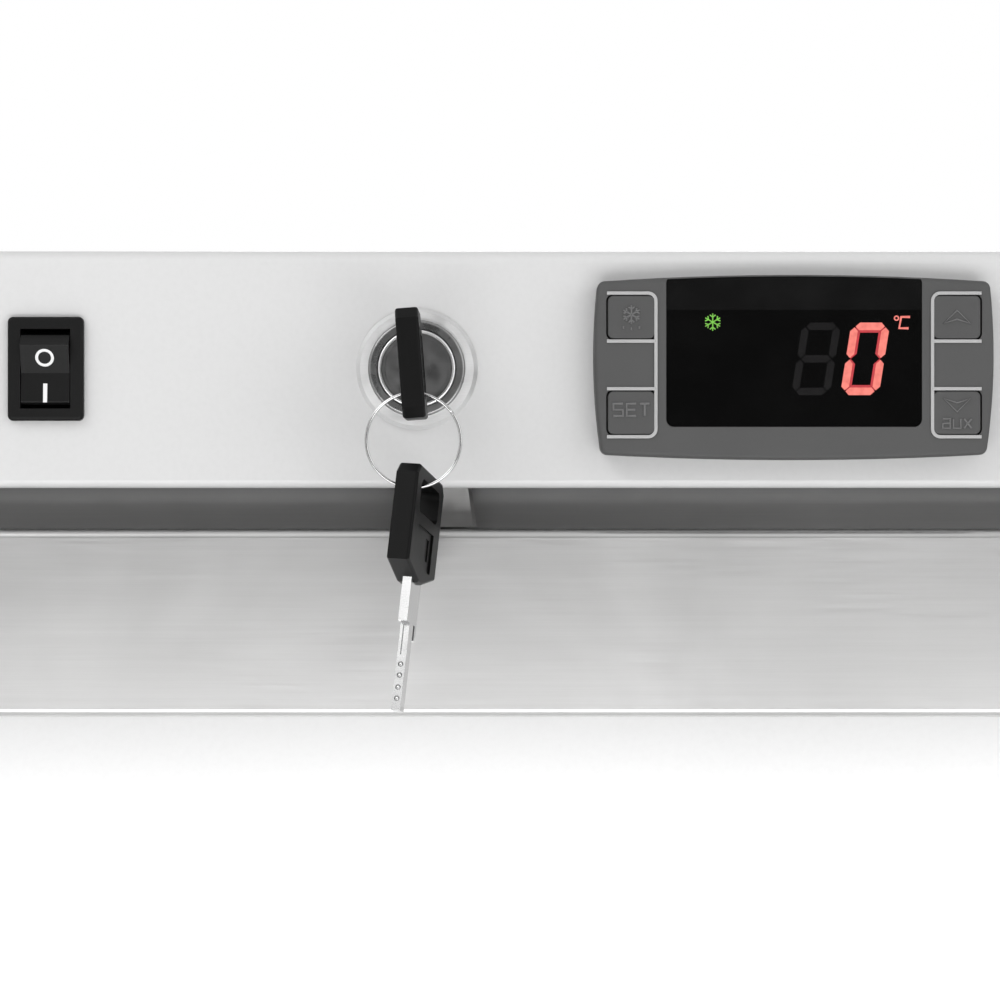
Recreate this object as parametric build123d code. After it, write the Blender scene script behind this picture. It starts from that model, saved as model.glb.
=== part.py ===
from build123d import *
import math
import os

# Ice cream dipping cabinet. Millimetres, +Z up, the front faces -Y.
# The origin is on the floor, under the middle of the cabinet's outer box.
# "Depth" (d) is the distance behind the plane of the control fascia.

# ---- driving dimensions ----
WIDTH = 700.0
DEPTH = 690.0
TOP_Z = 900.0
BASE_Z = 100.0            # underside of the base pan, on its casters
FASCIA_H = 49.0
GAP_H = 8.7               # between the fascia and the door's rail
RAIL_H = 38.6
SKIN_D = 26.0             # the door skin's face
DOOR_BACK_D = 71.0
FRAME_D = 77.0            # the face that the door gasket lands on
SKIN = 1.2                # painted and stainless sheet
DECK_T = 1.5
DOOR_BOTTOM_Z = 352.0
FOAM_BOTTOM_Z = 330.0
CHAMBER_X = 290.0
CHAMBER_D0 = 120.0
CHAMBER_D1 = 640.0
CHAMBER_Z = 375.0
KEY_REACH = 36.40         # how far the hanging key stands out in front of the fascia
INLET_FLANGE_T = 2.5

# ---- sizes that follow ----
FRONT_Y = (KEY_REACH - DEPTH - INLET_FLANGE_T) / 2
HALF = WIDTH / 2
LOCK_Z = TOP_Z - FASCIA_H / 2
FASCIA_BOTTOM_Z = TOP_Z - FASCIA_H
RAIL_TOP_Z = FASCIA_BOTTOM_Z - GAP_H
RAIL_BOTTOM_Z = RAIL_TOP_Z - RAIL_H
DOOR_TOP_Z = RAIL_TOP_Z - 1.8      # the flange that carries the rail
SLAB_TOP_Z = RAIL_BOTTOM_Z - 1.7   # the insulated slab ends under the hanging key

# ---- places on the fascia, measured from the lock's centre ----
SWITCH_X = -76.4
CONTROLLER_X = 77.1

# ---- doorway into the reserve chamber ----
DOORWAY_X = 285.0
DOORWAY_Z0 = 385.0
DOORWAY_Z1 = 778.0

# ---- door pivot ----
PIVOT_X = 335.0
PIVOT_D = 51.0
PIN_R = 4.0
RUN = 0.05                # radial clearance of a running fit

# ---- lid wells and tubs ----
WELL_X0 = 22.0
WELL_X1 = 290.0
WELL_D0 = 104.0
WELL_D1 = 650.0
WELL_FLOOR_Z = 874.0
TUB_R = 116.5
TUB_RIM_R = 125.0
TUB_H = 240.0
TUB_T = 1.5
TUB_DEPTHS = (240.0, 514.0)
HINGE_D = 377.0           # middle of the hinge bars
LID_AXIS_OFFSET = 13.0
LID_AXIS_Z = 895.0
LID_T = 22.5
LID_GAP = 1.5

# ---- casters ----
WHEEL_R = 37.5
WHEEL_T = 24.0
CASTER_X = 285.0
SWIVEL_D = 110.0
RIGID_D = 610.0
TRAIL = 28.0

# ---- key and lock ----
KEY_TILT = 4.3            # the key leans this many degrees from upright
CAM_TILT = 7.5
CAM_D = 18.4
CAM_T = 2.0
CAM_W = 15.5
CAM_REACH = 36.0
HEAD_L = 22.4
HEAD_W = 21.7
HEAD_T = 4.6
HEAD_OFFSET = 0.5         # the head's middle is this far to the left of its blade's
HEAD_D0 = -33.0           # the outer end of the key in the lock
SLOT_L = 14.6
SLOT_W = 6.6
SLOT_FROM_END = 5.75
BLADE_T = 1.8
BLADE_W = 7.6
BLADE_L = 25.6
SHOULDER_L = 8.1          # the wide part of the blade next to the head
BAR_W = 3.0               # the narrow part beyond it
TANG_L = 9.0
RING_R = 9.2
RING_WIRE_R = 0.45

os.makedirs("parts", exist_ok=True)


def keep(name, *solids):
    """Writes one node, made of one solid or of several separate ones."""
    shape = solids[0] if len(solids) == 1 else Compound(children=list(solids))
    shape.label = name
    export_step(shape, f"parts/{name}.step")


def block(x0, x1, d0, d1, z0, z1):
    centre = Pos((x0 + x1) / 2, FRONT_Y + (d0 + d1) / 2, (z0 + z1) / 2)
    return centre * Box(x1 - x0, d1 - d0, z1 - z0)


def rod_x(x0, x1, d, z, radius):
    place = Pos((x0 + x1) / 2, FRONT_Y + d, z) * Rot(0, 90, 0)
    return place * Cylinder(radius, x1 - x0)


def rod_d(d0, d1, x, z, radius):
    place = Pos(x, FRONT_Y + (d0 + d1) / 2, z) * Rot(90, 0, 0)
    return place * Cylinder(radius, d1 - d0)


def rod_z(z0, z1, x, d, radius):
    return Pos(x, FRONT_Y + d, (z0 + z1) / 2) * Cylinder(radius, z1 - z0)


def front_plate(sketch, d0, d1):
    """Extrudes a sketch drawn in x and z between two depths."""
    back = Plane(origin=(0, FRONT_Y + d1, 0), x_dir=(1, 0, 0), z_dir=(0, -1, 0))
    return extrude(back * sketch, amount=d1 - d0)


def side_plate(sketch, x0, x1):
    """Extrudes a sketch drawn in depth and z between two places along x."""
    plane = Plane(origin=(x0, FRONT_Y, 0), x_dir=(0, 1, 0), z_dir=(1, 0, 0))
    return extrude(plane * sketch, amount=x1 - x0)


def level_plate(sketch, z0, z1):
    """Extrudes a sketch drawn in x and depth upwards."""
    return extrude(Pos(0, FRONT_Y, z0) * sketch, amount=z1 - z0)


def bent_sheet(points, radii, thickness, x0, x1):
    """A folded sheet: its middle line in depth and z, with rounded bends."""
    line = FilletPolyline(*points, radius=radii)
    return side_plate(trace(line, line_width=thickness), x0, x1)


def polygon(*points):
    return make_face(Polyline(*points, close=True))


def tilt(shape, degrees):
    """Turns a shape about the lock's axis, anticlockwise as seen from the front."""
    axis = Axis((0, 0, LOCK_Z), (0, 1, 0))
    return shape.rotate(axis, -degrees)


# ================= cabinet body =================

def make_side_panel(side):
    x0, x1 = sorted((side * (HALF - SKIN), side * HALF))
    return block(x0, x1, FRAME_D, DEPTH, BASE_Z, TOP_Z - DECK_T)


def make_rear_panel():
    half = HALF - SKIN - 0.2
    panel = block(-half, half, DEPTH - SKIN, DEPTH, BASE_Z + 1.7, TOP_Z - DECK_T - 0.2)
    louvres = Sketch()
    for row in range(7):
        for column in (-1, 0, 1):
            louvres += Pos(column * 110 - 80, 150 + row * 22) * SlotOverall(90, 5)
    panel -= front_plate(louvres, DEPTH - 5, DEPTH + 5)
    inlet = Pos(INLET_X, INLET_Z) * Rectangle(28.4, 21.4)
    return panel - front_plate(inlet, DEPTH - 5, DEPTH + 5)


def make_base_pan():
    half = HALF - SKIN - 0.2
    pan = block(-half, half, FRAME_D + 2, DEPTH - SKIN - 0.2, BASE_Z, BASE_Z + 26)
    inside = block(-half + 1.5, half - 1.5, FRAME_D + 3.5, DEPTH - SKIN - 1.7,
                   BASE_Z + 1.5, BASE_Z + 30)
    return pan - inside


def make_front_grille():
    half = HALF - 1
    top = DOOR_BOTTOM_Z - 6
    outer = block(-half, half, SKIN_D, FRAME_D, BASE_Z + 12, top)
    inner = block(-half + SKIN, half - SKIN, SKIN_D + SKIN, FRAME_D + 1,
                  BASE_Z + 12 + SKIN, top - SKIN)
    slots = Sketch()
    for row in range(8):
        for column in (-1, 0, 1):
            slots += Pos(column * 200, 145 + row * 22) * SlotOverall(180, 6)
    return outer - inner - front_plate(slots, SKIN_D - 5, SKIN_D + 5)


COIL_LEVELS = [450 + 66 * n for n in range(6)]
COIL_X = CHAMBER_X + 8
COIL_D = CHAMBER_D1 + 8
COIL_FRONT_D = CHAMBER_D0 + 30
COIL_R = 4.0
COIL_BEND = 8.0


def coil_route():
    """The evaporator tube's middle line: to and fro round three sides of the liner."""
    points = []
    side = -1
    for z in COIL_LEVELS:
        y_front = FRONT_Y + COIL_FRONT_D
        y_rear = FRONT_Y + COIL_D
        points += [(side * COIL_X, y_front, z), (side * COIL_X, y_rear, z),
                   (-side * COIL_X, y_rear, z), (-side * COIL_X, y_front, z)]
        side = -side
    return points


def make_insulation():
    half = HALF - SKIN - 0.2
    top = TOP_Z - DECK_T - 0.2
    foam = block(-half, half, FRAME_D + 1.7, DEPTH - SKIN - 0.2, FOAM_BOTTOM_Z, top)
    foam -= block(-CHAMBER_X - 1, CHAMBER_X + 1, CHAMBER_D0 - 1, CHAMBER_D1 + 1,
                  CHAMBER_Z - 1, WELL_FLOOR_Z - 1.7)
    foam -= block(-DOORWAY_X - 1.4, DOORWAY_X + 1.4, FRAME_D, CHAMBER_D0,
                  DOORWAY_Z0 - 1.4, DOORWAY_Z1 + 1.4)
    for side in (-1, 1):
        x0, x1 = sorted((side * (WELL_X0 - 1.7), side * (WELL_X1 + 1.7)))
        foam -= block(x0, x1, WELL_D0 - 1.7, WELL_D1 + 1.7, WELL_FLOOR_Z - 2, TOP_Z)
    room = COIL_R + 0.5
    for z in COIL_LEVELS:
        groove = block(-COIL_X - room, COIL_X + room, COIL_FRONT_D - room, COIL_D + room,
                       z - room, z + room)
        foam -= groove
    for level, z in enumerate(COIL_LEVELS[:-1]):
        side = 1 if level % 2 == 0 else -1
        x0, x1 = sorted((side * CHAMBER_X, side * (COIL_X + room)))
        foam -= block(x0, x1, COIL_FRONT_D - room, COIL_FRONT_D + room + COIL_BEND,
                      z, COIL_LEVELS[level + 1])
    return foam


def make_liner():
    top = WELL_FLOOR_Z - 1.7
    low = CHAMBER_Z
    floor = block(-CHAMBER_X - 1, CHAMBER_X + 1, CHAMBER_D0 - 1, CHAMBER_D1 + 1, low - 1, low)
    left = block(-CHAMBER_X - 1, -CHAMBER_X, CHAMBER_D0, CHAMBER_D1 + 1, low, top)
    right = block(CHAMBER_X, CHAMBER_X + 1, CHAMBER_D0, CHAMBER_D1 + 1, low, top)
    rear = block(-CHAMBER_X, CHAMBER_X, CHAMBER_D1, CHAMBER_D1 + 1, low, top)
    header = block(-CHAMBER_X, CHAMBER_X, CHAMBER_D0, CHAMBER_D0 + 1, DOORWAY_Z1, top)
    sill = block(-CHAMBER_X, CHAMBER_X, CHAMBER_D0, CHAMBER_D0 + 1, low, DOORWAY_Z0)
    return floor, left, right, rear, header, sill


def make_front_frame():
    """Door surround with its throat, and the tray that closes the control space."""
    half = HALF - SKIN - 0.2
    face = block(-half, half, FRAME_D, FRAME_D + 1.5, FOAM_BOTTOM_Z, TOP_Z - DECK_T - 0.2)
    throat = block(-DOORWAY_X - 1.2, DOORWAY_X + 1.2, FRAME_D, CHAMBER_D0 - 0.2,
                   DOORWAY_Z0 - 1.2, DOORWAY_Z1 + 1.2)
    opening = block(-DOORWAY_X, DOORWAY_X, FRAME_D - 1, CHAMBER_D0, DOORWAY_Z0, DOORWAY_Z1)
    tray = block(-half, half, SKIN_D, FRAME_D, RAIL_TOP_Z + 0.9, RAIL_TOP_Z + 2.1)
    lip = block(-HALF + 25, HALF - 25, SKIN_D, SKIN_D + SKIN, RAIL_TOP_Z - 0.4, LOCK_Z - 17.5)
    corner = block(HALF - 25, HALF, SKIN_D - 1, SKIN_D + 12, RAIL_TOP_Z, RAIL_TOP_Z + 3)
    return face + throat - opening + (tray - corner) + lip


def make_top_deck():
    """Flat top sheet, cut out for the two lid wells."""
    deck = block(-HALF, HALF, 40.3, DEPTH, TOP_Z - DECK_T, TOP_Z)
    for side in (-1, 1):
        x0, x1 = sorted((side * WELL_X0, side * WELL_X1))
        deck -= block(x0 - DECK_T, x1 + DECK_T, WELL_D0 - DECK_T, WELL_D1 + DECK_T, TOP_Z - 3, TOP_Z + 1)
    return deck


def make_lid_well(side):
    """Shallow pan let into the deck, with a hole for each of its two tubs."""
    x0, x1 = sorted((side * WELL_X0, side * WELL_X1))
    pan = block(x0 - DECK_T, x1 + DECK_T, WELL_D0 - DECK_T, WELL_D1 + DECK_T,
                WELL_FLOOR_Z - DECK_T, TOP_Z)
    pan -= block(x0, x1, WELL_D0, WELL_D1, WELL_FLOOR_Z, TOP_Z + 1)
    for depth in TUB_DEPTHS:
        pan -= rod_z(WELL_FLOOR_Z - 5, WELL_FLOOR_Z + 1, (x0 + x1) / 2, depth, TUB_R + 1.5)
    return pan


def make_fascia():
    """White front sheet, rounded at the top, with a short return at the bottom."""
    mid = SKIN / 2
    points = [(12, FASCIA_BOTTOM_Z + mid), (mid, FASCIA_BOTTOM_Z + mid),
              (mid, TOP_Z - mid), (40, TOP_Z - mid)]
    sheet = bent_sheet(points, [1.0, 2.2], SKIN, -HALF, HALF)
    for side in (-1, 1):
        x0, x1 = sorted((side * (HALF - SKIN), side * HALF))
        sheet += block(x0, x1, 5, 40, FASCIA_BOTTOM_Z, TOP_Z - mid)
        sheet += block(x0, x1, 5, FRAME_D, FASCIA_BOTTOM_Z, TOP_Z - DECK_T - 0.1)
        sheet += block(x0, x1, mid, 6, FASCIA_BOTTOM_Z + 3, TOP_Z - 5)
    sheet -= front_plate(Pos(SWITCH_X, LOCK_Z) * Rectangle(13.2, 19.4), -5, 5)
    sheet -= front_plate(Pos(0, LOCK_Z) * Circle(9.5), -5, 5)
    sheet -= front_plate(Pos(CONTROLLER_X, LOCK_Z) * Rectangle(71, 29), -5, 5)
    return sheet


def make_tub(side, depth):
    """Round steel tub that hangs from its rim in the deck."""
    rim_z = WELL_FLOOR_Z + TUB_T
    floor_z = rim_z - TUB_H
    outline = polygon((0, floor_z), (TUB_R - 8, floor_z), (TUB_R, floor_z + 8),
                      (TUB_R, WELL_FLOOR_Z), (TUB_RIM_R, WELL_FLOOR_Z), (TUB_RIM_R, rim_z),
                      (TUB_R - TUB_T, rim_z), (TUB_R - TUB_T, floor_z + 8.6),
                      (TUB_R - 8.6, floor_z + TUB_T), (0, floor_z + TUB_T))
    tub = revolve(Plane.XZ * outline, Axis.Z)
    return Pos(side * (WELL_X0 + WELL_X1) / 2, FRONT_Y + depth, 0) * tub


# ================= lids =================

KNUCKLE_R = 4.0
LID_PIN_R = 2.5


def make_lid_hinges():
    """One bar in each well, with lugs and the pins that the lids turn on."""
    bars = []
    for side in (-1, 1):
        x0, x1 = sorted((side * (WELL_X0 + 0.5), side * (WELL_X1 - 0.5)))
        bar = block(x0, x1, HINGE_D - 6, HINGE_D + 6, WELL_FLOOR_Z, LID_AXIS_Z + 1)
        bar -= block(x0 + 14, x1 - 14, HINGE_D - 4.5, HINGE_D + 4.5, WELL_FLOOR_Z - 1, LID_AXIS_Z - 0.5)
        for way in (-1, 1):
            axis_d = HINGE_D + way * LID_AXIS_OFFSET
            d0, d1 = sorted((HINGE_D, axis_d))
            for lug_x in (x0, x1 - 5):
                lug = block(lug_x, lug_x + 5, d0, d1, LID_AXIS_Z - 3.5, LID_AXIS_Z + 1)
                bar += lug + rod_x(lug_x, lug_x + 5, axis_d, LID_AXIS_Z, 3.5)
            bar += rod_x(x0 + 1, x1 - 1, axis_d, LID_AXIS_Z, LID_PIN_R)
        bars.append(bar)
    return bars


def make_lid(side, way):
    """One lid leaf: way is -1 for the front tub and 1 for the rear tub."""
    x0, x1 = sorted((side * (WELL_X0 + LID_GAP), side * (WELL_X1 - LID_GAP)))
    axis_d = HINGE_D + way * LID_AXIS_OFFSET
    edge_d = axis_d + way * 6
    free_d = WELL_D0 + LID_GAP if way < 0 else WELL_D1 - LID_GAP
    d0, d1 = sorted((edge_d, free_d))
    leaf = block(x0, x1, d0, d1, TOP_Z - LID_T, TOP_Z)
    leaf = fillet(leaf.edges().filter_by(Axis.Z), 3)
    leaf = fillet(leaf.faces().sort_by(Axis.Z)[-1].edges(), 1.2)
    n0, n1 = sorted((axis_d, edge_d + way * 3))
    knuckle = rod_x(x0 + 6.5, x1 - 6.5, axis_d, LID_AXIS_Z, KNUCKLE_R)
    web = block(x0 + 6.5, x1 - 6.5, n0, n1, LID_AXIS_Z + 0.5, LID_AXIS_Z + KNUCKLE_R - 0.3)
    leaf += knuckle + web
    leaf -= rod_x(x0 - 1, x1 + 1, axis_d, LID_AXIS_Z, LID_PIN_R + RUN)
    middle = (x0 + x1) / 2
    grip_d = free_d - way * 8
    grip = block(middle - 60, middle + 60, grip_d - 5, grip_d + 5, TOP_Z - 1, TOP_Z + 6)
    grip = fillet(grip.faces().sort_by(Axis.Z)[-1].edges(), 2)
    under = rod_x(middle - 61, middle + 61, grip_d - way * 6.5, TOP_Z + 2.4, 3)
    return leaf + (grip - under)


# ================= reserve door =================

def make_door_skin():
    """Tray over the slab, with a flange above it that the rail is fixed to."""
    half = HALF - 1
    box = block(-half, half, SKIN_D, DOOR_BACK_D - 1.2, DOOR_BOTTOM_Z, SLAB_TOP_Z)
    front = box.faces().sort_by(Axis.Y)[0]
    box = fillet(front.edges().sort_by(Axis.Z)[:-1], 2)
    flange = block(-half, half, SKIN_D, SKIN_D + 1, SLAB_TOP_Z - 1, DOOR_TOP_Z)
    inside = block(-half + 1, half - 1, SKIN_D + 1, DOOR_BACK_D, DOOR_BOTTOM_Z + 1, SLAB_TOP_Z - 1)
    pin_hole = rod_z(DOOR_BOTTOM_Z - 5, SLAB_TOP_Z + 5, PIVOT_X, PIVOT_D, PIN_R + RUN)
    return box + flange - inside - pin_hole


def make_door_core():
    half = HALF - 2.2
    foam = block(-half, half, SKIN_D + 1.2, DOOR_BACK_D - 1.4, DOOR_BOTTOM_Z + 1.2, SLAB_TOP_Z - 1.2)
    for z0, z1 in ((SLAB_TOP_Z - 18, SLAB_TOP_Z + 1), (DOOR_BOTTOM_Z - 1, DOOR_BOTTOM_Z + 18)):
        foam -= rod_z(z0, z1, PIVOT_X, PIVOT_D, PIN_R + 1)
    return foam


def make_door_liner():
    half = HALF - 1
    sheet = block(-half, half, DOOR_BACK_D - 1, DOOR_BACK_D, DOOR_BOTTOM_Z, SLAB_TOP_Z)
    plug = block(-270, 270, DOOR_BACK_D - 0.5, DOOR_BACK_D + 24, DOORWAY_Z0 + 14, DOORWAY_Z1 - 14)
    rear = plug.faces().sort_by(Axis.Y)[-1]
    plug = fillet(rear.edges(), 6)
    return sheet + plug


def make_door_gasket():
    """Soft seal round the doorway, with one groove along its middle."""
    x, z0, z1 = 300.0, DOORWAY_Z0 - 15, DOORWAY_Z1 + 15
    ring = block(-x - 8, x + 8, DOOR_BACK_D + 0.2, FRAME_D - 0.3, z0 - 8, z1 + 8)
    ring -= block(-x + 8, x - 8, DOOR_BACK_D, FRAME_D, z0 + 8, z1 - 8)
    groove = block(-x - 1, x + 1, FRAME_D - 1.5, FRAME_D, z0 - 1, z1 + 1)
    groove -= block(-x + 1, x - 1, FRAME_D - 2, FRAME_D + 1, z0 + 1, z1 - 1)
    return ring - groove


def make_door_rail():
    """Folded stainless channel across the top of the door: its pull."""
    half = HALF - 1
    mid = SKIN / 2
    points = [(SKIN_D - 0.3, RAIL_TOP_Z - mid), (mid, RAIL_TOP_Z - mid),
              (mid, RAIL_BOTTOM_Z + mid), (9, RAIL_BOTTOM_Z + mid)]
    sheet = bent_sheet(points, [1.0, 1.0], SKIN, -half, half)
    foot = block(-half, half, SKIN_D - SKIN - 0.1, SKIN_D - 0.1, DOOR_TOP_Z - 16, RAIL_TOP_Z - 0.3)
    for side in (-1, 1):
        x0, x1 = sorted((side * (half - SKIN), side * half))
        foot += block(x0, x1, 1, SKIN_D - 0.1, RAIL_BOTTOM_Z + 1, RAIL_TOP_Z - 1)
    return sheet + foot


def make_door_hinges():
    """Upper and lower pivot brackets on the front frame, each with its pin."""
    brackets = []
    x0, x1 = PIVOT_X - 13, PIVOT_X + 12
    for edge_z, way in ((SLAB_TOP_Z, 1), (DOOR_BOTTOM_Z, -1)):
        near = edge_z + 0.8 * way
        z0, z1 = sorted((near, near + 4 * way))
        plate = block(x0, x1, PIVOT_D - 11, FRAME_D, z0, z1)
        z0, z1 = sorted((near + way, edge_z - 14 * way))
        plate += rod_z(z0, z1, PIVOT_X, PIVOT_D, PIN_R)
        brackets.append(plate)
    upstand = block(x0, x1, FRAME_D - 3, FRAME_D, SLAB_TOP_Z + 2, SLAB_TOP_Z + 22)
    brackets[0] += upstand
    return brackets


# ================= refrigeration unit =================

UNIT_Z = BASE_Z + 1.5
FAN_X = -90.0
FAN_Z = 216.0
FAN_D = 184.0
CONDENSER_D0 = 100.0
CONDENSER_D1 = 160.0
COMPRESSOR_X = -150.0
COMPRESSOR_D = 470.0


def make_compressor():
    body = extrude(Pos(COMPRESSOR_X, FRONT_Y + COMPRESSOR_D, UNIT_Z + 22) * Ellipse(100, 80), 165)
    body = fillet(body.faces().sort_by(Axis.Z)[-1].edges(), 45)
    body = fillet(body.faces().sort_by(Axis.Z)[0].edges(), 22)
    feet = block(COMPRESSOR_X - 105, COMPRESSOR_X + 105, COMPRESSOR_D - 60, COMPRESSOR_D + 60,
                 UNIT_Z + 12, UNIT_Z + 24)
    body += feet
    solids = [body]
    for x in (-90, 90):
        for d in (-48, 48):
            post = rod_z(UNIT_Z, UNIT_Z + 12, COMPRESSOR_X + x, COMPRESSOR_D + d, 11)
            solids.append(post)
    cover = block(COMPRESSOR_X + 101, COMPRESSOR_X + 135, COMPRESSOR_D - 35, COMPRESSOR_D + 35,
                  UNIT_Z + 60, UNIT_Z + 130)
    solids.append(fillet(cover.edges().filter_by(Axis.X), 6))
    return solids


def make_condenser():
    """Finned block, its tubes, and the shroud that ducts the fan to it."""
    solids = []
    rows = [UNIT_Z + 30 + 34 * n for n in range(5)]
    middle_d = (CONDENSER_D0 + CONDENSER_D1) / 2
    fin = Pos(middle_d, (UNIT_Z + 5 + UNIT_Z + 200) / 2) * Rectangle(CONDENSER_D1 - CONDENSER_D0, 195)
    for z in rows:
        fin -= Pos(middle_d, z) * Circle(5.05)
    for n in range(24):
        x = FAN_X - 138 + 12 * n
        solids.append(side_plate(fin, x - 0.4, x + 0.4))
    for z in rows:
        solids.append(rod_x(FAN_X - 152, FAN_X + 152, middle_d, z, 5))
    shroud = block(FAN_X - 150, FAN_X + 150, CONDENSER_D1 + 0.5, CONDENSER_D1 + 40, UNIT_Z, UNIT_Z + 210)
    shroud -= block(FAN_X - 148.5, FAN_X + 148.5, CONDENSER_D1, CONDENSER_D1 + 38.5,
                    UNIT_Z + 1.5, UNIT_Z + 208.5)
    shroud -= rod_d(CONDENSER_D1, CONDENSER_D1 + 50, FAN_X, FAN_Z, 93)
    solids.append(shroud)
    return solids


def make_fan_motor():
    can = rod_d(FAN_D + 22, FAN_D + 72, FAN_X, FAN_Z, 32)
    can = fillet(can.edges().filter_by(GeomType.CIRCLE), 4)
    shaft = rod_d(FAN_D - 8, FAN_D + 24, FAN_X, FAN_Z, 3)
    solid = can + shaft
    for n in range(3):
        arm = block(FAN_X - 6, FAN_X + 6, FAN_D + 40, FAN_D + 43, FAN_Z + 25, FAN_Z + 102)
        leg = block(FAN_X - 6, FAN_X + 6, CONDENSER_D1 + 40, FAN_D + 43, FAN_Z + 99, FAN_Z + 102)
        centre = Axis((FAN_X, 0, FAN_Z), (0, 1, 0))
        solid += (arm + leg).rotate(centre, 90 * (n - 1) + 180)
    return solid


def make_fan_blade():
    hub = rod_d(FAN_D - 7, FAN_D + 9, FAN_X, FAN_Z, 15)
    fan = hub
    for n in range(4):
        vane = Box(64, 1.6, 46)
        vane = fillet(vane.edges().filter_by(Axis.Y), 16)
        vane = Pos(FAN_X, FRONT_Y + FAN_D, FAN_Z) * Rot(0, 90 * n, 0) * Pos(45, 0, 0) * Rot(24, 0, 0) * vane
        fan += vane
    return fan - rod_d(FAN_D - 10, FAN_D + 12, FAN_X, FAN_Z, 3 + RUN)


def tube(points, bend, radius):
    path = FilletPolyline(*points, radius=bend)
    start = Plane(path @ 0, z_dir=path % 0)
    return sweep(start * Circle(radius), path=path)


def make_tubing():
    """Evaporator coil round the liner, a drier and the line to the condenser."""
    coil = tube(coil_route(), COIL_BEND, COIL_R)
    drier = rod_z(UNIT_Z + 60, UNIT_Z + 170, 60, 560, 12)
    drier = fillet(drier.edges().filter_by(GeomType.CIRCLE), 8)
    y = FRONT_Y
    discharge = tube([(COMPRESSOR_X + 60, y + COMPRESSOR_D - 72, UNIT_Z + 100),
                      (COMPRESSOR_X + 60, y + 350, UNIT_Z + 100),
                      (FAN_X + 190, y + 350, UNIT_Z + 100),
                      (FAN_X + 190, y + 130, UNIT_Z + 100),
                      (FAN_X + 190, y + 130, UNIT_Z + 166),
                      (FAN_X + 154, y + 130, UNIT_Z + 166)], 14, 3.2)
    return coil, drier, discharge


INLET_X = 250.0
INLET_Z = 200.0


def make_power_inlet():
    """Three-pin appliance inlet in the rear panel."""
    flange = front_plate(Pos(INLET_X, INLET_Z) * RectangleRounded(50, 28, 6), DEPTH, DEPTH + INLET_FLANGE_T)
    body = block(INLET_X - 14, INLET_X + 14, DEPTH - 24, DEPTH + 1, INLET_Z - 10.5, INLET_Z + 10.5)
    cavity = block(INLET_X - 12, INLET_X + 12, DEPTH - 18, DEPTH + 5, INLET_Z - 8.4, INLET_Z + 8.4)
    inlet = flange + body - cavity
    for x, z in ((-7, 0), (7, 0), (0, 3.5)):
        pin = block(INLET_X + x - 1, INLET_X + x + 1, DEPTH - 19, DEPTH - 3,
                    INLET_Z + z - 2, INLET_Z + z + 2)
        tab = block(INLET_X + x - 0.4, INLET_X + x + 0.4, DEPTH - 36, DEPTH - 23,
                    INLET_Z + z - 3, INLET_Z + z + 3)
        inlet += pin + tab
    for x in (-20, 20):
        inlet -= rod_d(DEPTH - 1, DEPTH + 5, INLET_X + x, INLET_Z, 1.7)
    return inlet


# ================= controls on the fascia =================

def make_switch_housing():
    bezel = front_plate(Pos(SWITCH_X, LOCK_Z) * RectangleRounded(15.6, 21.4, 1.1), -2, 0)
    bezel = fillet(bezel.faces().sort_by(Axis.Y)[0].edges(), 0.7)
    body = block(SWITCH_X - 6.4, SWITCH_X + 6.4, -1, 14, LOCK_Z - 9.4, LOCK_Z + 9.4)
    cavity = block(SWITCH_X - 5.15, SWITCH_X + 5.15, -5, 10, LOCK_Z - 8.2, LOCK_Z + 8.2)
    housing = bezel + body - cavity
    for z in (-6, 0, 6):
        housing += block(SWITCH_X - 2.4, SWITCH_X + 2.4, 13, 22, LOCK_Z + z - 0.4, LOCK_Z + z + 0.4)
    return housing


def make_switch_rocker():
    """Concave rocker, shown with its lower end pressed in."""
    z = LOCK_Z
    profile = polygon((-1.6, z - 0.9), (-3.9, z + 4.9), (-1.9, z + 7.0), (4.5, z + 6.2),
                      (6.5, z), (4.5, z - 6.2), (-1.3, z - 7.4), (-2.1, z - 6.9))
    rocker = side_plate(profile, SWITCH_X - 5, SWITCH_X + 5)
    return fillet(rocker.edges().filter_by(Axis.X).sort_by(Axis.Y)[:3], 0.35)


CONTROLLER_D = -7.0       # face of the controller's bezel
KEY_ROWS = (10.3, -9.2)   # upper and lower key pads, above the controller's centre
KEY_X = 33.2
PAD_W = 9.6
PAD_H = 8.8


def controller_outline(shrink=0.0):
    top = ThreePointArc((-40 + shrink, 17.6 - shrink), (0, 19.0 - shrink), (40 - shrink, 17.6 - shrink))
    right = ThreePointArc((40 - shrink, 17.6 - shrink), (40.8 - shrink, 0), (39.3 - shrink, -17.7 + shrink))
    bottom = ThreePointArc((39.3 - shrink, -17.7 + shrink), (0, -18.8 + shrink),
                           (-39.3 + shrink, -17.7 + shrink))
    left = ThreePointArc((-39.3 + shrink, -17.7 + shrink), (-40.8 + shrink, 0),
                         (-40 + shrink, 17.6 - shrink))
    face = make_face([top, right, bottom, left])
    return Pos(CONTROLLER_X, LOCK_Z) * fillet(face.vertices(), 1.6)


def window_outline(margin):
    low = Pos(CONTROLLER_X, LOCK_Z + 3.35) * RectangleRounded(52.2 - 2 * margin, 30.9 - 2 * margin, 1.6)
    return low & controller_outline(0.35 + margin)


def pad_place(side, row):
    return Pos(CONTROLLER_X + side * KEY_X, LOCK_Z + KEY_ROWS[row])


def make_controller_bezel():
    bezel = front_plate(controller_outline(), CONTROLLER_D, 0)
    front = bezel.faces().sort_by(Axis.Y)[0]
    bezel = fillet(front.edges(), 0.9)
    bezel -= front_plate(window_outline(0), CONTROLLER_D - 1, CONTROLLER_D + 2.2)
    for side in (-1, 1):
        for row in (0, 1):
            well = pad_place(side, row) * RectangleRounded(PAD_W + 0.7, PAD_H + 0.7, 1.5)
            bezel -= front_plate(well, CONTROLLER_D - 1, CONTROLLER_D + 4)
    return bezel


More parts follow.
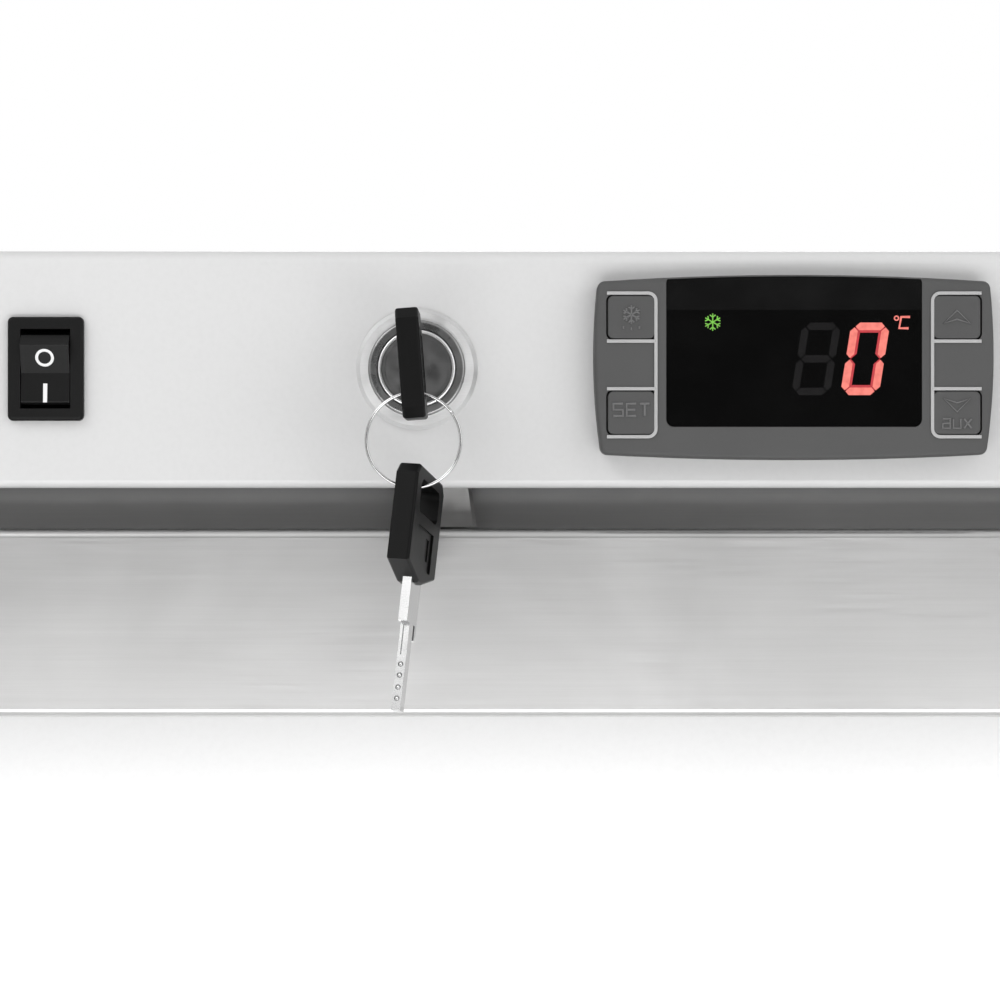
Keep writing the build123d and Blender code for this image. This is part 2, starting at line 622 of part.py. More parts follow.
def make_controller_window():
    lens = front_plate(window_outline(0.12), CONTROLLER_D + 0.15, CONTROLLER_D + 2.2)
    return lens


def make_controller_case():
    x = CONTROLLER_X
    case = block(x - 35.2, x + 35.2, 0, 58, LOCK_Z - 14.2, LOCK_Z + 14.2)
    case = fillet(case.edges().filter_by(Axis.Y), 1.5)
    strip = block(x - 30, x + 30, 56, 66, LOCK_Z - 12, LOCK_Z - 1)
    for n in range(9):
        strip -= rod_d(60, 70, x - 26 + 6.5 * n, LOCK_Z - 6.5, 1.8)
    case += strip
    clips = []
    for side in (-1, 1):
        x0, x1 = sorted((x + side * 35.3, x + side * 39))
        clips.append(block(x0, x1, SKIN + 0.1, 28, LOCK_Z - 7, LOCK_Z + 7))
    return [case] + clips


def make_button(side, row):
    pad = front_plate(pad_place(side, row) * RectangleRounded(PAD_W, PAD_H, 1.2),
                      CONTROLLER_D - 0.25, CONTROLLER_D + 2.6)
    return fillet(pad.faces().sort_by(Axis.Y)[0].edges(), 0.3)


# ================= lock and keys =================

BORE_R = 7.8
PLUG_FACE_D = -2.6


def make_escutcheon():
    ring = rod_d(-1.6, 0, 0, LOCK_Z, 12.5)
    ring = chamfer(ring.faces().sort_by(Axis.Y)[0].edges(), 0.8)
    return ring - rod_d(-3, 1, 0, LOCK_Z, 9.5)


def make_lock_barrel():
    flange = rod_d(-3.6, -1.6, 0, LOCK_Z, 10)
    flange = fillet(flange.faces().sort_by(Axis.Y)[0].edges(), 0.6)
    body = rod_d(-1.6, 17.8, 0, LOCK_Z, 9.4)
    barrel = flange + body
    barrel -= rod_d(-5, 20, 0, LOCK_Z, BORE_R)
    return barrel - rod_d(-5, -1.6, 0, LOCK_Z, 8.2)


def make_lock_nut():
    nut = front_plate(Pos(0, LOCK_Z) * RegularPolygon(13.5, 6), SKIN, SKIN + 4)
    return nut - rod_d(0, 8, 0, LOCK_Z, 9.42)


def make_lock_plug():
    plug = rod_d(PLUG_FACE_D, 18.2, 0, LOCK_Z, BORE_R - RUN)
    plug = fillet(plug.faces().sort_by(Axis.Y)[0].edges(), 0.5)
    face_dish = rod_d(PLUG_FACE_D - 1, PLUG_FACE_D + 0.4, 0, LOCK_Z, 6.6)
    boss = rod_d(PLUG_FACE_D, PLUG_FACE_D + 0.6, 0, LOCK_Z, 2.8)
    square = block(-4, 4, 18, 20.6, LOCK_Z - 4, LOCK_Z + 4)
    keyway = block(-BLADE_T / 2 - 0.2, BLADE_T / 2 + 0.2, PLUG_FACE_D - 2, 17.2,
                   LOCK_Z - BLADE_W / 2 - 0.25, LOCK_Z + BLADE_W / 2 + 0.25)
    return tilt(plug - face_dish + boss + square - keyway, KEY_TILT)


def make_lock_cam():
    """Locking plate on the plug's square, with its screw; it ends just above the rail."""
    outline = Pos(0, LOCK_Z) * Circle(10.5)
    outline += Pos(0, LOCK_Z - CAM_REACH / 2) * Rectangle(CAM_W, CAM_REACH)
    plate = front_plate(outline, CAM_D, CAM_D + CAM_T)
    rims = plate.faces().sort_by(Axis.Y)[0].edges().filter_by(Axis.Z)
    plate = chamfer(rims, 0.7)
    plate = tilt(plate, CAM_TILT)
    plate -= block(-30, 30, CAM_D - 1, CAM_D + CAM_T + 1, RAIL_TOP_Z - 10, RAIL_TOP_Z + 0.5)
    plate -= tilt(block(-4, 4, CAM_D - 1, CAM_D + CAM_T + 1, LOCK_Z - 4, LOCK_Z + 4), KEY_TILT)
    screw = rod_d(CAM_D + CAM_T + 0.2, CAM_D + CAM_T + 3.2, 0, LOCK_Z, 6)
    screw = chamfer(screw.faces().sort_by(Axis.Y)[-1].edges(), 0.6)
    return plate, screw


def head_outline():
    """Key head seen on its broad face: its blade end is at y = 0, its outer end at y = HEAD_L."""
    w = HEAD_W / 2
    outline = polygon((-1.5, 0), (1.5, 0), (w, 2.8), (w, HEAD_L - 2),
                      (w - 2, HEAD_L), (-w + 2, HEAD_L), (-w, HEAD_L - 2), (-w, 2.8))
    return outline - Pos(0, HEAD_L - SLOT_FROM_END) * RectangleRounded(SLOT_L, SLOT_W, 1.5)


def make_key_head():
    """Plastic head in the XY plane, thickness along Z, its blade end at the origin."""
    head = extrude(head_outline(), HEAD_T / 2, both=True)
    rim = head.faces().sort_by(Axis.Z)
    head = fillet(rim[0].outer_wire().edges() + rim[-1].outer_wire().edges(), 0.6)
    for way in (-1, 1):
        z = way * HEAD_T / 2
        head -= Pos(0, 7, z) * Box(12, 8, 0.8)
        head -= Pos(3 * way, 7.4, z) * Box(2.6, 4.4, 1.3)
    head = Pos(0, 0, -HEAD_OFFSET) * head
    return head - Pos(0, TANG_L / 2, 0) * Box(BLADE_W, TANG_L, BLADE_T)


def make_key_blade():
    """Tang, wide shoulder with a stop prong, and a narrow bar dimpled on its edges."""
    blade = Pos(0, (TANG_L - SHOULDER_L) / 2, 0) * Box(BLADE_W, TANG_L + SHOULDER_L, BLADE_T)
    blade += Pos(0, -BLADE_L / 2, 0) * Box(BAR_W, BLADE_L, BLADE_T)
    blade += Pos(BLADE_W / 2 - 0.6, -SHOULDER_L - 1.4, 0) * Box(1.2, 3, BLADE_T)
    for way in (-1, 1):
        edge = way * BAR_W / 2
        blade -= Pos(edge, -SHOULDER_L - 3.4, 0) * Box(0.8, 6, 0.7)
        for along in (16.4, 18.6, 21, 23.2):
            blade -= Pos(edge, -along, 0) * Sphere(0.55)
    return blade


def key_in_lock(shape):
    """Places a key with its blade along +Y in the plug and its broad face upright."""
    blade_end = Plane(origin=(0, FRONT_Y + HEAD_D0 + HEAD_L, LOCK_Z), x_dir=(0, 0, 1), z_dir=(1, 0, 0))
    return tilt(blade_end * shape, KEY_TILT)


RING_D = HEAD_D0 + SLOT_FROM_END
RING_X = 0.0
RING_TOP_Z = LOCK_Z - 6.0
RING_CENTRE_Z = RING_TOP_Z - RING_R
RING_LOW_Z = RING_CENTRE_Z - RING_R
SPARE_LEAN = 3.3
SPARE_TURN = 13.5
SPARE_PITCH = 12.0        # it hangs by one end of its slot, so its blade swings to the front
SPARE_HANG_X = 5.0        # from the middle of the slot to the wire
RING_PLAY = 1.0


def make_key_ring():
    ring = Torus(RING_R, RING_WIRE_R)
    return Pos(RING_X, FRONT_Y + RING_D, RING_CENTRE_Z) * Rot(90, 0, 0) * ring


def hanging_key(shape):
    """Places a key under the ring, seen almost edge-on, leaning a little to the left."""
    slot_top = HEAD_L - SLOT_FROM_END + SLOT_W / 2
    hung = Pos(SPARE_HANG_X, -slot_top + RING_WIRE_R + RING_PLAY, HEAD_OFFSET) * shape
    upright = Rot(0, SPARE_PITCH, 0) * Rot(90, 0, 0) * hung
    turned = Rot(0, 0, 90 - SPARE_TURN) * upright
    leaning = Rot(0, SPARE_LEAN, 0) * turned
    return Pos(RING_X, FRONT_Y + RING_D, RING_LOW_Z) * leaning


# ================= casters =================

def caster_plate(side, d):
    x = side * CASTER_X
    plate = block(x - 32, x + 32, d - 38, d + 38, BASE_Z - 3, BASE_Z)
    plate = fillet(plate.edges().filter_by(Axis.Z), 5)
    return plate


def bolt_heads(side, d):
    heads = []
    for x in (-24, 24):
        for y in (-30, 30):
            head = level_plate(Pos(side * CASTER_X + x, d + y) * RegularPolygon(5.5, 6),
                               BASE_Z - 6.5, BASE_Z - 3)
            heads.append(head)
    return heads


def fork(x, axle_d, crown_d, top_z):
    """Two cheeks and a crown above the wheel, with the axle through them."""
    low = polygon((axle_d - 11, WHEEL_R), (axle_d - 7, WHEEL_R - 10), (axle_d + 7, WHEEL_R - 10),
                  (axle_d + 11, WHEEL_R), (crown_d + 22, top_z - 3), (crown_d + 22, top_z),
                  (crown_d - 22, top_z), (crown_d - 22, top_z - 3))
    solid = None
    for way in (-1, 1):
        x0, x1 = sorted((x + way * 14, x + way * 16.5))
        cheek = side_plate(low, x0, x1)
        solid = cheek if solid is None else solid + cheek
    solid += block(x - 16.5, x + 16.5, crown_d - 22, crown_d + 22, top_z - 3, top_z)
    solid += rod_x(x - 20, x + 20, axle_d, WHEEL_R, 4)
    return solid


def make_caster_plates():
    """Four mounting plates with bolts; the rear two carry fixed forks."""
    solids = []
    for side in (-1, 1):
        x = side * CASTER_X
        front = caster_plate(side, SWIVEL_D)
        front += rod_z(BASE_Z - 7, BASE_Z - 3, x, SWIVEL_D, 21)
        front += rod_z(BASE_Z - 16, BASE_Z - 7, x, SWIVEL_D, 6)
        rear = caster_plate(side, RIGID_D) + fork(x, RIGID_D, RIGID_D, BASE_Z - 3)
        solids += [front, rear]
        solids += bolt_heads(side, SWIVEL_D) + bolt_heads(side, RIGID_D)
    return solids


BRAKE_Z = 80.0
BRAKE_D = SWIVEL_D + 44


def make_swivel_fork(side):
    x = side * CASTER_X
    axle_d = SWIVEL_D + TRAIL
    body = fork(x, axle_d, SWIVEL_D, BASE_Z - 7.4)
    race = rod_z(BASE_Z - 13, BASE_Z - 7.4, x, SWIVEL_D, 18)
    body += race
    body -= rod_z(BASE_Z - 17, BASE_Z, x, SWIVEL_D, 6 + RUN)
    for way in (-1, 1):
        x0, x1 = sorted((x + way * 14, x + way * 16.5))
        ear = side_plate(polygon((SWIVEL_D + 18, 72), (BRAKE_D - 5, BRAKE_Z - 6), (BRAKE_D + 6, BRAKE_Z - 4),
                                 (BRAKE_D + 6, BRAKE_Z + 6), (SWIVEL_D + 18, 92)), x0, x1)
        body += ear
    return body + rod_x(x - 18, x + 18, BRAKE_D, BRAKE_Z, 2.5)


def make_brake_lever(side):
    """Foot lever on the fork, shown raised."""
    x = side * CASTER_X
    eye = rod_x(x - 13.5, x + 13.5, BRAKE_D, BRAKE_Z, 5)
    arm = side_plate(polygon((BRAKE_D, BRAKE_Z + 4.5), (BRAKE_D, BRAKE_Z - 1), (BRAKE_D + 14, BRAKE_Z + 2),
                             (BRAKE_D + 34, BRAKE_Z + 5), (BRAKE_D + 34, BRAKE_Z + 9)), x - 13.5, x + 13.5)
    shoe = block(x - 8, x + 8, BRAKE_D - 2, BRAKE_D + 2, BRAKE_Z - 7.4, BRAKE_Z)
    lever = eye + arm + shoe
    return lever - rod_x(x - 15, x + 15, BRAKE_D, BRAKE_Z, 2.5 + RUN)


def make_wheel(side, axle_d):
    tread = WHEEL_T / 2
    profile = polygon((4 + RUN, -13), (12, -13), (12, -9), (27, -8), (30, -tread + 1),
                      (WHEEL_R - 2, -tread), (WHEEL_R, -tread + 3), (WHEEL_R, tread - 3),
                      (WHEEL_R - 2, tread), (30, tread - 1), (27, 8), (12, 9), (12, 13), (4 + RUN, 13))
    wheel = revolve(Plane.XZ * profile, Axis.Z)
    return Pos(side * CASTER_X, FRONT_Y + axle_d, WHEEL_R) * Rot(0, 90, 0) * wheel


# ================= write every node =================

keep("side_panel_left", make_side_panel(-1))
keep("side_panel_right", make_side_panel(1))
keep("rear_panel", make_rear_panel())
keep("base_pan", make_base_pan())
keep("front_grille", make_front_grille())
keep("insulation", make_insulation())
keep("chamber_liner", *make_liner())
keep("front_frame", make_front_frame())
keep("top_deck", make_top_deck())
keep("lid_wells", make_lid_well(-1), make_lid_well(1))
keep("control_fascia", make_fascia())
for side, side_name in ((-1, "left"), (1, "right")):
    for depth, way, end_name in ((TUB_DEPTHS[0], -1, "front"), (TUB_DEPTHS[1], 1, "rear")):
        keep(f"tub_{end_name}_{side_name}", make_tub(side, depth))
        keep(f"lid_{end_name}_{side_name}", make_lid(side, way))
keep("lid_hinges", *make_lid_hinges())

keep("door_skin", make_door_skin())
keep("door_core", make_door_core())
keep("door_liner", make_door_liner())
keep("door_gasket", make_door_gasket())
keep("door_rail", make_door_rail())
keep("door_hinges", *make_door_hinges())

keep("compressor", *make_compressor())
keep("condenser", *make_condenser())
keep("fan_motor", make_fan_motor())
keep("fan_blade", make_fan_blade())
keep("refrigerant_tubing", *make_tubing())
keep("power_inlet", make_power_inlet())

keep("switch_housing", make_switch_housing())
keep("switch_rocker", make_switch_rocker())
keep("controller_bezel", make_controller_bezel())
keep("controller_window", make_controller_window())
keep("controller_case", *make_controller_case())
keep("button_defrost", make_button(-1, 0))
keep("button_set", make_button(-1, 1))
keep("button_up", make_button(1, 0))
keep("button_down", make_button(1, 1))

keep("lock_escutcheon", make_escutcheon())
keep("lock_barrel", make_lock_barrel())
keep("lock_nut", make_lock_nut())
keep("lock_plug", make_lock_plug())
keep("lock_cam", *make_lock_cam())
keep("key_head", key_in_lock(make_key_head()))
keep("key_blade", key_in_lock(make_key_blade()))
keep("key_ring", make_key_ring())
keep("spare_key_head", hanging_key(make_key_head()))
keep("spare_key_blade", hanging_key(make_key_blade()))

keep("caster_plates", *make_caster_plates())
for side, side_name in ((-1, "left"), (1, "right")):
    keep(f"caster_fork_{side_name}", make_swivel_fork(side))
    keep(f"brake_lever_{side_name}", make_brake_lever(side))
    keep(f"wheel_front_{side_name}", make_wheel(side, SWIVEL_D + TRAIL))
    keep(f"wheel_rear_{side_name}", make_wheel(side, RIGID_D))
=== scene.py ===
"""Looks for the ice cream dipping cabinet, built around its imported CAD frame."""

import math

import bmesh
import bpy
from mathutils import Matrix, Vector


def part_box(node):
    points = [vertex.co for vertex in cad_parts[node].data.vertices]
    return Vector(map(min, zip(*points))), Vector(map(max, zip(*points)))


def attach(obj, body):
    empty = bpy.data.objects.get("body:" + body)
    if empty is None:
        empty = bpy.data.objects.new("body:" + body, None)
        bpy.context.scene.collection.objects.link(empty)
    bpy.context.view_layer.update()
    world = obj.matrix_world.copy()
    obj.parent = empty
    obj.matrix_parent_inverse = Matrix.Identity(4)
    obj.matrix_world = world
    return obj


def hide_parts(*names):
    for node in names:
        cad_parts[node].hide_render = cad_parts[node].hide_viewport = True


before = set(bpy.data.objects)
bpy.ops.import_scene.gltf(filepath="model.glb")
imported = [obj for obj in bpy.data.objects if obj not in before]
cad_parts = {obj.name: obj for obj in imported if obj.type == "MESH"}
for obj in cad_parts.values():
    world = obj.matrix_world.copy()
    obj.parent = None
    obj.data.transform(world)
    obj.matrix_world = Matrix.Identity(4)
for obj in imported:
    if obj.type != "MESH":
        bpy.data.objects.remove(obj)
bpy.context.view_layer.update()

MM = 0.001

# ---- reference places, read from the frame ----


def middle(node):
    """The middle of a CAD node's box at rest."""
    low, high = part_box(node)
    return (low + high) / 2


LOCK = middle("lock_barrel")
FRONT_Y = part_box("control_fascia")[0].y
LIP_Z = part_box("control_fascia")[0].z
BEZEL_FACE_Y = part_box("controller_bezel")[0].y
WINDOW_FACE_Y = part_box("controller_window")[0].y
WINDOW_X = LOCK.x + 77.1 * MM


# ================= shader building =================

def linear(value):
    """An sRGB level from 0 to 255 as a linear one."""
    v = value / 255
    return v / 12.92 if v <= 0.04045 else ((v + 0.055) / 1.055) ** 2.4


def grey(level, warm=0.0):
    """A neutral colour at an sRGB level, shifted a little towards yellow by warm."""
    v = linear(level)
    return (v * (1 + warm), v, v * (1 - warm), 1)


def colour(red, green, blue):
    """A colour from three sRGB levels."""
    return (linear(red), linear(green), linear(blue), 1)


class Shader:
    """A procedural material, built node by node on the object's own coordinates."""

    def __init__(self, name, base, metallic=0.0, roughness=0.5, coat=0.0, specular=0.5):
        self.material = bpy.data.materials.new(name)
        self.material.use_nodes = True
        self.tree = self.material.node_tree
        self.bsdf = self.tree.nodes["Principled BSDF"]
        self.bsdf.inputs["Base Color"].default_value = base
        self.bsdf.inputs["Metallic"].default_value = metallic
        self.bsdf.inputs["Roughness"].default_value = roughness
        self.bsdf.inputs["Coat Weight"].default_value = coat
        self.bsdf.inputs["Specular IOR Level"].default_value = specular
        self.coords = self.tree.nodes.new("ShaderNodeTexCoord").outputs["Object"]
        self.last_bump = None

    def node(self, kind, **values):
        made = self.tree.nodes.new(kind)
        for key, value in values.items():
            setattr(made, key, value)
        return made

    def link(self, source, target):
        self.tree.links.new(source, target)

    def noise(self, size, detail=3.0, stretch=(1, 1, 1), rough=0.5, distortion=0.0):
        """Noise with features about size metres across, drawn out along an axis by stretch."""
        mapping = self.node("ShaderNodeMapping")
        mapping.inputs["Scale"].default_value = [1 / (size * s) for s in stretch]
        self.link(self.coords, mapping.inputs["Vector"])
        noise = self.node("ShaderNodeTexNoise")
        noise.inputs["Scale"].default_value = 1.0
        noise.inputs["Detail"].default_value = detail
        noise.inputs["Roughness"].default_value = rough
        noise.inputs["Distortion"].default_value = distortion
        self.link(mapping.outputs["Vector"], noise.inputs["Vector"])
        return noise.outputs["Fac"]

    def voronoi(self, size, feature="F1"):
        mapping = self.node("ShaderNodeMapping")
        mapping.inputs["Scale"].default_value = [1 / size] * 3
        self.link(self.coords, mapping.inputs["Vector"])
        cells = self.node("ShaderNodeTexVoronoi", feature=feature)
        cells.inputs["Scale"].default_value = 1.0
        self.link(mapping.outputs["Vector"], cells.inputs["Vector"])
        return cells.outputs["Distance"]

    def ramp(self, factor, *stops):
        """Maps a factor through (position, colour or number) stops."""
        made = self.node("ShaderNodeValToRGB")
        elements = made.color_ramp.elements
        while len(elements) < len(stops):
            elements.new(0.5)
        for element, (position, value) in zip(elements, stops):
            element.position = position
            element.color = value if isinstance(value, tuple) else (value, value, value, 1)
        self.link(factor, made.inputs["Fac"])
        return made.outputs["Color"]

    def height(self, low, high):
        """Runs from 0 to 1 between two heights above the floor."""
        apart = self.node("ShaderNodeSeparateXYZ")
        self.link(self.coords, apart.inputs["Vector"])
        spread = self.node("ShaderNodeMapRange")
        spread.inputs["From Min"].default_value = low
        spread.inputs["From Max"].default_value = high
        self.link(apart.outputs["Z"], spread.inputs["Value"])
        return spread.outputs["Result"]

    def multiply(self, first, second, amount=1.0):
        mix = self.node("ShaderNodeMix", data_type="RGBA", blend_type="MULTIPLY")
        mix.inputs["Factor"].default_value = amount
        self.link(first, mix.inputs["A"])
        self.link(second, mix.inputs["B"])
        return mix.outputs["Result"]

    def base(self, socket):
        self.link(socket, self.bsdf.inputs["Base Color"])

    def roughness(self, factor, low, high):
        spread = self.node("ShaderNodeMapRange")
        spread.inputs["To Min"].default_value = low
        spread.inputs["To Max"].default_value = high
        self.link(factor, spread.inputs["Value"])
        self.link(spread.outputs["Result"], self.bsdf.inputs["Roughness"])

    def bump(self, height, strength, distance):
        made = self.node("ShaderNodeBump")
        made.inputs["Strength"].default_value = strength
        made.inputs["Distance"].default_value = distance
        self.link(height, made.inputs["Height"])
        if self.last_bump is not None:
            self.link(self.last_bump, made.inputs["Normal"])
        self.last_bump = made.outputs["Normal"]
        self.link(self.last_bump, self.bsdf.inputs["Normal"])


# ================= materials =================

def enamel(name, level, warm=0.0):
    """Satin white paint on sheet: orange peel, faint waviness, slight toning."""
    s = Shader(name, grey(level), roughness=0.36, coat=0.12, specular=0.45)
    tone = s.ramp(s.noise(0.16, 3), (0.3, grey(level - 4, warm)), (0.7, grey(level, warm)))
    fleck = s.ramp(s.noise(0.0011, 2), (0.3, 0.97), (0.6, 1.0))
    s.base(s.multiply(tone, fleck, 0.6))
    s.roughness(s.noise(0.05, 4), 0.30, 0.43)
    s.bump(s.noise(0.12, 2), 0.10, 0.0008)
    s.bump(s.noise(0.0016, 2), 0.05, 0.00012)
    return s.material


def brushed(name, level, grain_axis=0, roughness=(0.24, 0.40), contrast=0.10, fine=0.35 * MM,
            lip_z=None):
    """Sheet with a grain along one axis and smears, with painted shade darkening it close under a
    lip at lip_z.
    """
    s = Shader(name, grey(level), metallic=1.0, roughness=0.3)
    stretch = [1.0, 1.0, 1.0]
    stretch[grain_axis] = 90.0
    grain = s.noise(fine, 3, stretch, rough=0.65)
    stretch[grain_axis] = 240.0
    streak = s.noise(fine * 5, 2, stretch)
    smear = s.noise(0.07, 3, distortion=0.8)
    cloud = s.ramp(smear, (0.30, grey(level - 13, 0.004)), (0.62, grey(level, 0.004)))
    lines = s.ramp(grain, (0.25, 1 - contrast), (0.75, 1.0))
    wide = s.ramp(streak, (0.25, 0.95), (0.75, 1.0))
    metal = s.multiply(s.multiply(cloud, lines), wide)
    if lip_z is not None:
        # painted shade: the colour darkens towards the lip, standing in for the lip's shadow
        painted_lip_shade = s.ramp(s.height(lip_z - 5 * MM, lip_z + 2 * MM), (0.3, 1.0), (0.9, 0.42))
        metal = s.multiply(metal, painted_lip_shade)
    s.base(metal)
    s.roughness(grain, *roughness)
    s.bump(grain, 0.10, 0.00004)
    s.bump(s.noise(0.15, 2), 0.05, 0.0006)
    return s.material


def plated(name, level, roughness=0.12, warm=0.0):
    """Polished or plated metal with faint hairlines and cloudy reflections."""
    s = Shader(name, grey(level), metallic=1.0, roughness=roughness)
    tone = s.ramp(s.noise(0.006, 4), (0.3, grey(level - 12, warm)), (0.7, grey(level, warm)))
    lines = s.noise(0.0002, 2, (30, 1, 1))
    s.base(s.multiply(tone, s.ramp(lines, (0.3, 0.93), (0.7, 1.0)), 0.7))
    s.roughness(s.noise(0.003, 4), roughness * 0.7, roughness * 1.5)
    s.bump(lines, 0.06, 0.00002)
    return s.material


def moulded(name, base, roughness=(0.42, 0.58), grain=0.0006, depth=0.12, spread=0.12,
            specular=0.5):
    """Moulded plastic or rubber: spark-eroded grain, slight toning and rubbed patches."""
    s = Shader(name, base, roughness=sum(roughness) / 2, specular=specular)
    darker = tuple(c * (1 - spread) for c in base[:3]) + (1,)
    tone = s.ramp(s.noise(0.02, 4), (0.3, darker), (0.7, base))
    pits = s.noise(grain, 2, rough=0.6)
    s.base(s.multiply(tone, s.ramp(pits, (0.3, 1 - spread / 2), (0.6, 1.0))))
    s.roughness(s.noise(0.012, 4), *roughness)
    s.bump(pits, depth, grain * 0.12)
    return s.material


def smoked_window():
    """Black gloss lens with a painted reflection as a lighter band at its top, faint dust and
    hairline wipes.
    """
    s = Shader("window_black", grey(9), roughness=0.06, coat=0.3, specular=0.35)
    wipes = s.noise(0.0005, 2, (40, 1, 3))
    dust = s.ramp(s.noise(0.012, 4), (0.4, 0.6), (0.7, 1.0))
    # painted reflection: the base colour is lighter above this height, standing in for light
    # caught along the lens's upper edge
    reflection_band_z = LOCK.z + 11.8 * MM
    painted_top_reflection = s.ramp(s.height(reflection_band_z - 0.5 * MM, reflection_band_z + 0.5 * MM), (0.4, grey(9)), (0.6, grey(22)))
    s.base(s.multiply(painted_top_reflection, dust))
    s.roughness(wipes, 0.04, 0.10)
    s.bump(s.noise(0.03, 2), 0.02, 0.0002)
    return s.material


def glowing(name, red, green, blue, strength):
    """A lit display element: a little unevenness from its diffuser."""
    s = Shader(name, (0.02, 0.02, 0.02, 1), roughness=0.4)
    level = s.ramp(s.noise(0.0012, 2), (0.3, colour(red * 0.9, green * 0.82, blue * 0.82)),
                   (0.65, colour(red, green, blue)))
    s.link(level, s.bsdf.inputs["Emission Color"])
    s.bsdf.inputs["Emission Strength"].default_value = strength
    return s.material


def foam():
    """Yellowish rigid foam with fine cells."""
    s = Shader("foam", colour(222, 200, 140), roughness=0.85)
    cells = s.voronoi(0.0014)
    tone = s.ramp(s.noise(0.05, 3), (0.3, colour(208, 184, 124)), (0.7, colour(226, 206, 150)))
    s.base(s.multiply(tone, s.ramp(cells, (0.0, 0.82), (0.5, 1.0))))
    s.bump(cells, 0.3, 0.0004)
    return s.material


def copper():
    """Copper tube, dulled in patches."""
    s = Shader("copper", colour(190, 112, 78), metallic=1.0, roughness=0.32)
    s.base(s.ramp(s.noise(0.03, 4), (0.3, colour(134, 78, 58)), (0.55, colour(190, 112, 78)),
                  (0.8, colour(206, 136, 100))))
    s.roughness(s.noise(0.01, 4), 0.24, 0.5)
    s.bump(s.noise(0.002, 3), 0.05, 0.0001)
    return s.material


MATERIALS = {
    "fascia": enamel("fascia_enamel", 206),
    "cabinet": enamel("cabinet_enamel", 232),
    # the door's enamel is painted lighter than the cabinet's, standing in for more light, so the
    # skin stays white in the rail's shade
    "door": enamel("door_enamel_painted_bright", 252),
    "rail": brushed("rail_brushed", 208, 0, (0.27, 0.38), 0.05, 0.22 * MM),
    "deck": brushed("deck_brushed", 204, 0, (0.26, 0.42)),
    # the frame carries painted shade just under the fascia's lip
    "frame": brushed("frame_brushed", 188, 0, (0.4, 0.55), lip_z=LIP_Z),
    "tub": brushed("tub_spun", 214, 2, (0.2, 0.34), 0.06),
    "aluminium": brushed("liner_aluminium", 206, 1, (0.4, 0.55), 0.05, 0.8 * MM),
    "zinc": plated("zinc_plate", 176, 0.34, 0.01),
    "chrome": plated("lock_chrome", 228, 0.42),
    "bead": plated("lock_bead", 240, 0.3),
    "barrel": plated("lock_barrel_satin", 150, 0.26),
    "plug": plated("lock_plug_satin", 138, 0.30),
    "key_steel": plated("key_nickel", 206, 0.2),
    "ring_steel": plated("ring_steel", 205, 0.16),
    "black": moulded("black_plastic", grey(14), (0.36, 0.5), specular=0.18),
    "key_plastic": moulded("key_plastic", grey(8), (0.36, 0.5), specular=0.14),
    "rocker": moulded("rocker_plastic", grey(16), (0.3, 0.42), 0.0004, 0.06, specular=0.22),
    "bezel": moulded("bezel_grey", grey(76), (0.5, 0.62), 0.0005, 0.1, 0.06, specular=0.3),
    "pad": moulded("pad_grey", grey(75), (0.48, 0.6), 0.0005, 0.1, 0.06, specular=0.3),
    # painted highlight: the legends are the pads' own grey, made lighter to stand in for light on
    # their raised relief
    "legend": moulded("legend_grey_painted_highlight", grey(104), (0.45, 0.55), 0.0005, 0.05, 0.05, specular=0.3),
    "window": smoked_window(),
    "lid": moulded("lid_plastic", grey(226), (0.34, 0.48), 0.0009, 0.1, 0.03),
    "liner": moulded("liner_plastic", grey(222), (0.35, 0.5), 0.001, 0.06, 0.03),
    "seal": moulded("seal_rubber", grey(92), (0.55, 0.7), 0.0008, 0.1),
    "tyre": moulded("wheel_rubber", grey(86), (0.5, 0.66), 0.0012, 0.2),
    "compressor": moulded("compressor_paint", grey(30), (0.25, 0.4), 0.0016, 0.1),
    "fan": moulded("fan_plastic", grey(52), (0.4, 0.55)),
    "foam": foam(),
    "copper": copper(),
    "red_core": glowing("display_red", 255, 132, 118, 1.0),
    "red_edge": glowing("display_red_edge", 214, 20, 40, 0.85),
    "green": glowing("display_green", 120, 214, 52, 0.9),
    "ghost": moulded("display_unlit", (0.0034, 0.0031, 0.0033, 1), (0.2, 0.3)),
    "white_print": moulded("white_print", grey(226), (0.4, 0.5), 0.0004, 0.05, 0.04),
    # painted highlight: a pale colour for the light caught along the key grooves
    "groove_highlight_line": moulded("groove_highlight_line", grey(168), (0.4, 0.55), 0.0004, 0.08, 0.08),
}

NODE_MATERIALS = {
    "fascia": ["control_fascia"],
    "cabinet": ["side_panel_left", "side_panel_right", "rear_panel", "front_grille"],
    "door": ["door_skin"],
    "rail": ["door_rail"],
    "deck": ["top_deck", "lid_wells", "lid_hinges"],
    "frame": ["front_frame"],
    "tub": ["tub_front_left", "tub_front_right", "tub_rear_left", "tub_rear_right"],
    "aluminium": ["chamber_liner"],
    "zinc": ["base_pan", "condenser", "fan_motor", "caster_plates", "caster_fork_left",
             "caster_fork_right", "lock_nut", "lock_cam", "door_hinges"],
    "chrome": ["lock_escutcheon"],
    "barrel": ["lock_barrel"],
    "plug": ["lock_plug"],
    "key_steel": ["key_blade", "spare_key_blade"],
    "ring_steel": ["key_ring"],
    "black": ["power_inlet", "switch_housing", "controller_case", "brake_lever_left",
              "brake_lever_right"],
    "key_plastic": ["key_head", "spare_key_head"],
    "rocker": ["switch_rocker"],
    "bezel": ["controller_bezel"],
    "pad": ["button_defrost", "button_set", "button_up", "button_down"],
    "window": ["controller_window"],
    "lid": ["lid_front_left", "lid_front_right", "lid_rear_left", "lid_rear_right"],
    "liner": ["door_liner"],
    "seal": ["door_gasket"],
    "tyre": ["wheel_front_left", "wheel_front_right", "wheel_rear_left", "wheel_rear_right"],
    "compressor": ["compressor"],
    "fan": ["fan_blade"],
    "foam": ["insulation", "door_core"],
    "copper": ["refrigerant_tubing"],
}


